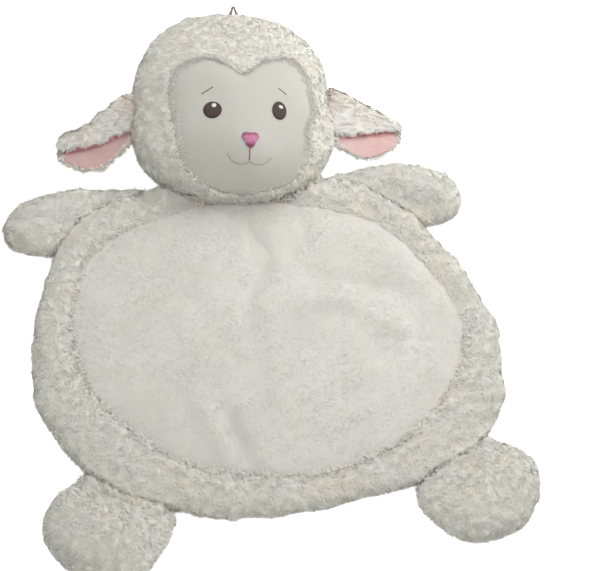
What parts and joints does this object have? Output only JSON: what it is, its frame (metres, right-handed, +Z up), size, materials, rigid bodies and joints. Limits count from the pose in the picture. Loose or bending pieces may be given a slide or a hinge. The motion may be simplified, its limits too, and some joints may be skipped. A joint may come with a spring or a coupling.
{
  "type": "lamb shaped play mat",
  "caption": "Padded plush play mat shaped like a lamb lying flat, with an oval body, smooth centre panel, stuffed head with folded ears, short arms and feet.",
  "frame": {"origin": "middle of the padded oval body's flat underside, on the surface it lies on", "axes": "+Y from the body towards the head, +Z up from the surface, +X to the right when looking from the feet to the head"},
  "size_m": [0.6714, 0.8482, 0.1172],
  "materials": {
    "plush_cream": "curly plush",
    "short_plush_ivory": "short smooth plush",
    "velour_cream": "smooth velour",
    "lining_pink": "short velour",
    "thread_brown": "satin stitch",
    "thread_rose": "satin stitch",
    "thread_taupe": "thin stitch"
  },
  "bodies": {
    "root": {"mat_body": "plush_cream", "centre_panel": "short_plush_ivory", "head": "plush_cream", "face_panel": "velour_cream", "eye_left": "thread_brown", "eye_right": "thread_brown", "brow_left": "thread_taupe", "brow_right": "thread_taupe", "nose": "thread_rose", "mouth_line": "thread_rose", "smile_line": "thread_rose", "ear_left": "velour_cream", "ear_left_lining": "lining_pink", "ear_right": "velour_cream", "ear_right_lining": "lining_pink", "arm_left": "plush_cream", "arm_right": "plush_cream", "foot_left": "plush_cream", "foot_right": "plush_cream", "crown_loop": "lining_pink"}
  },
  "joints": []
}
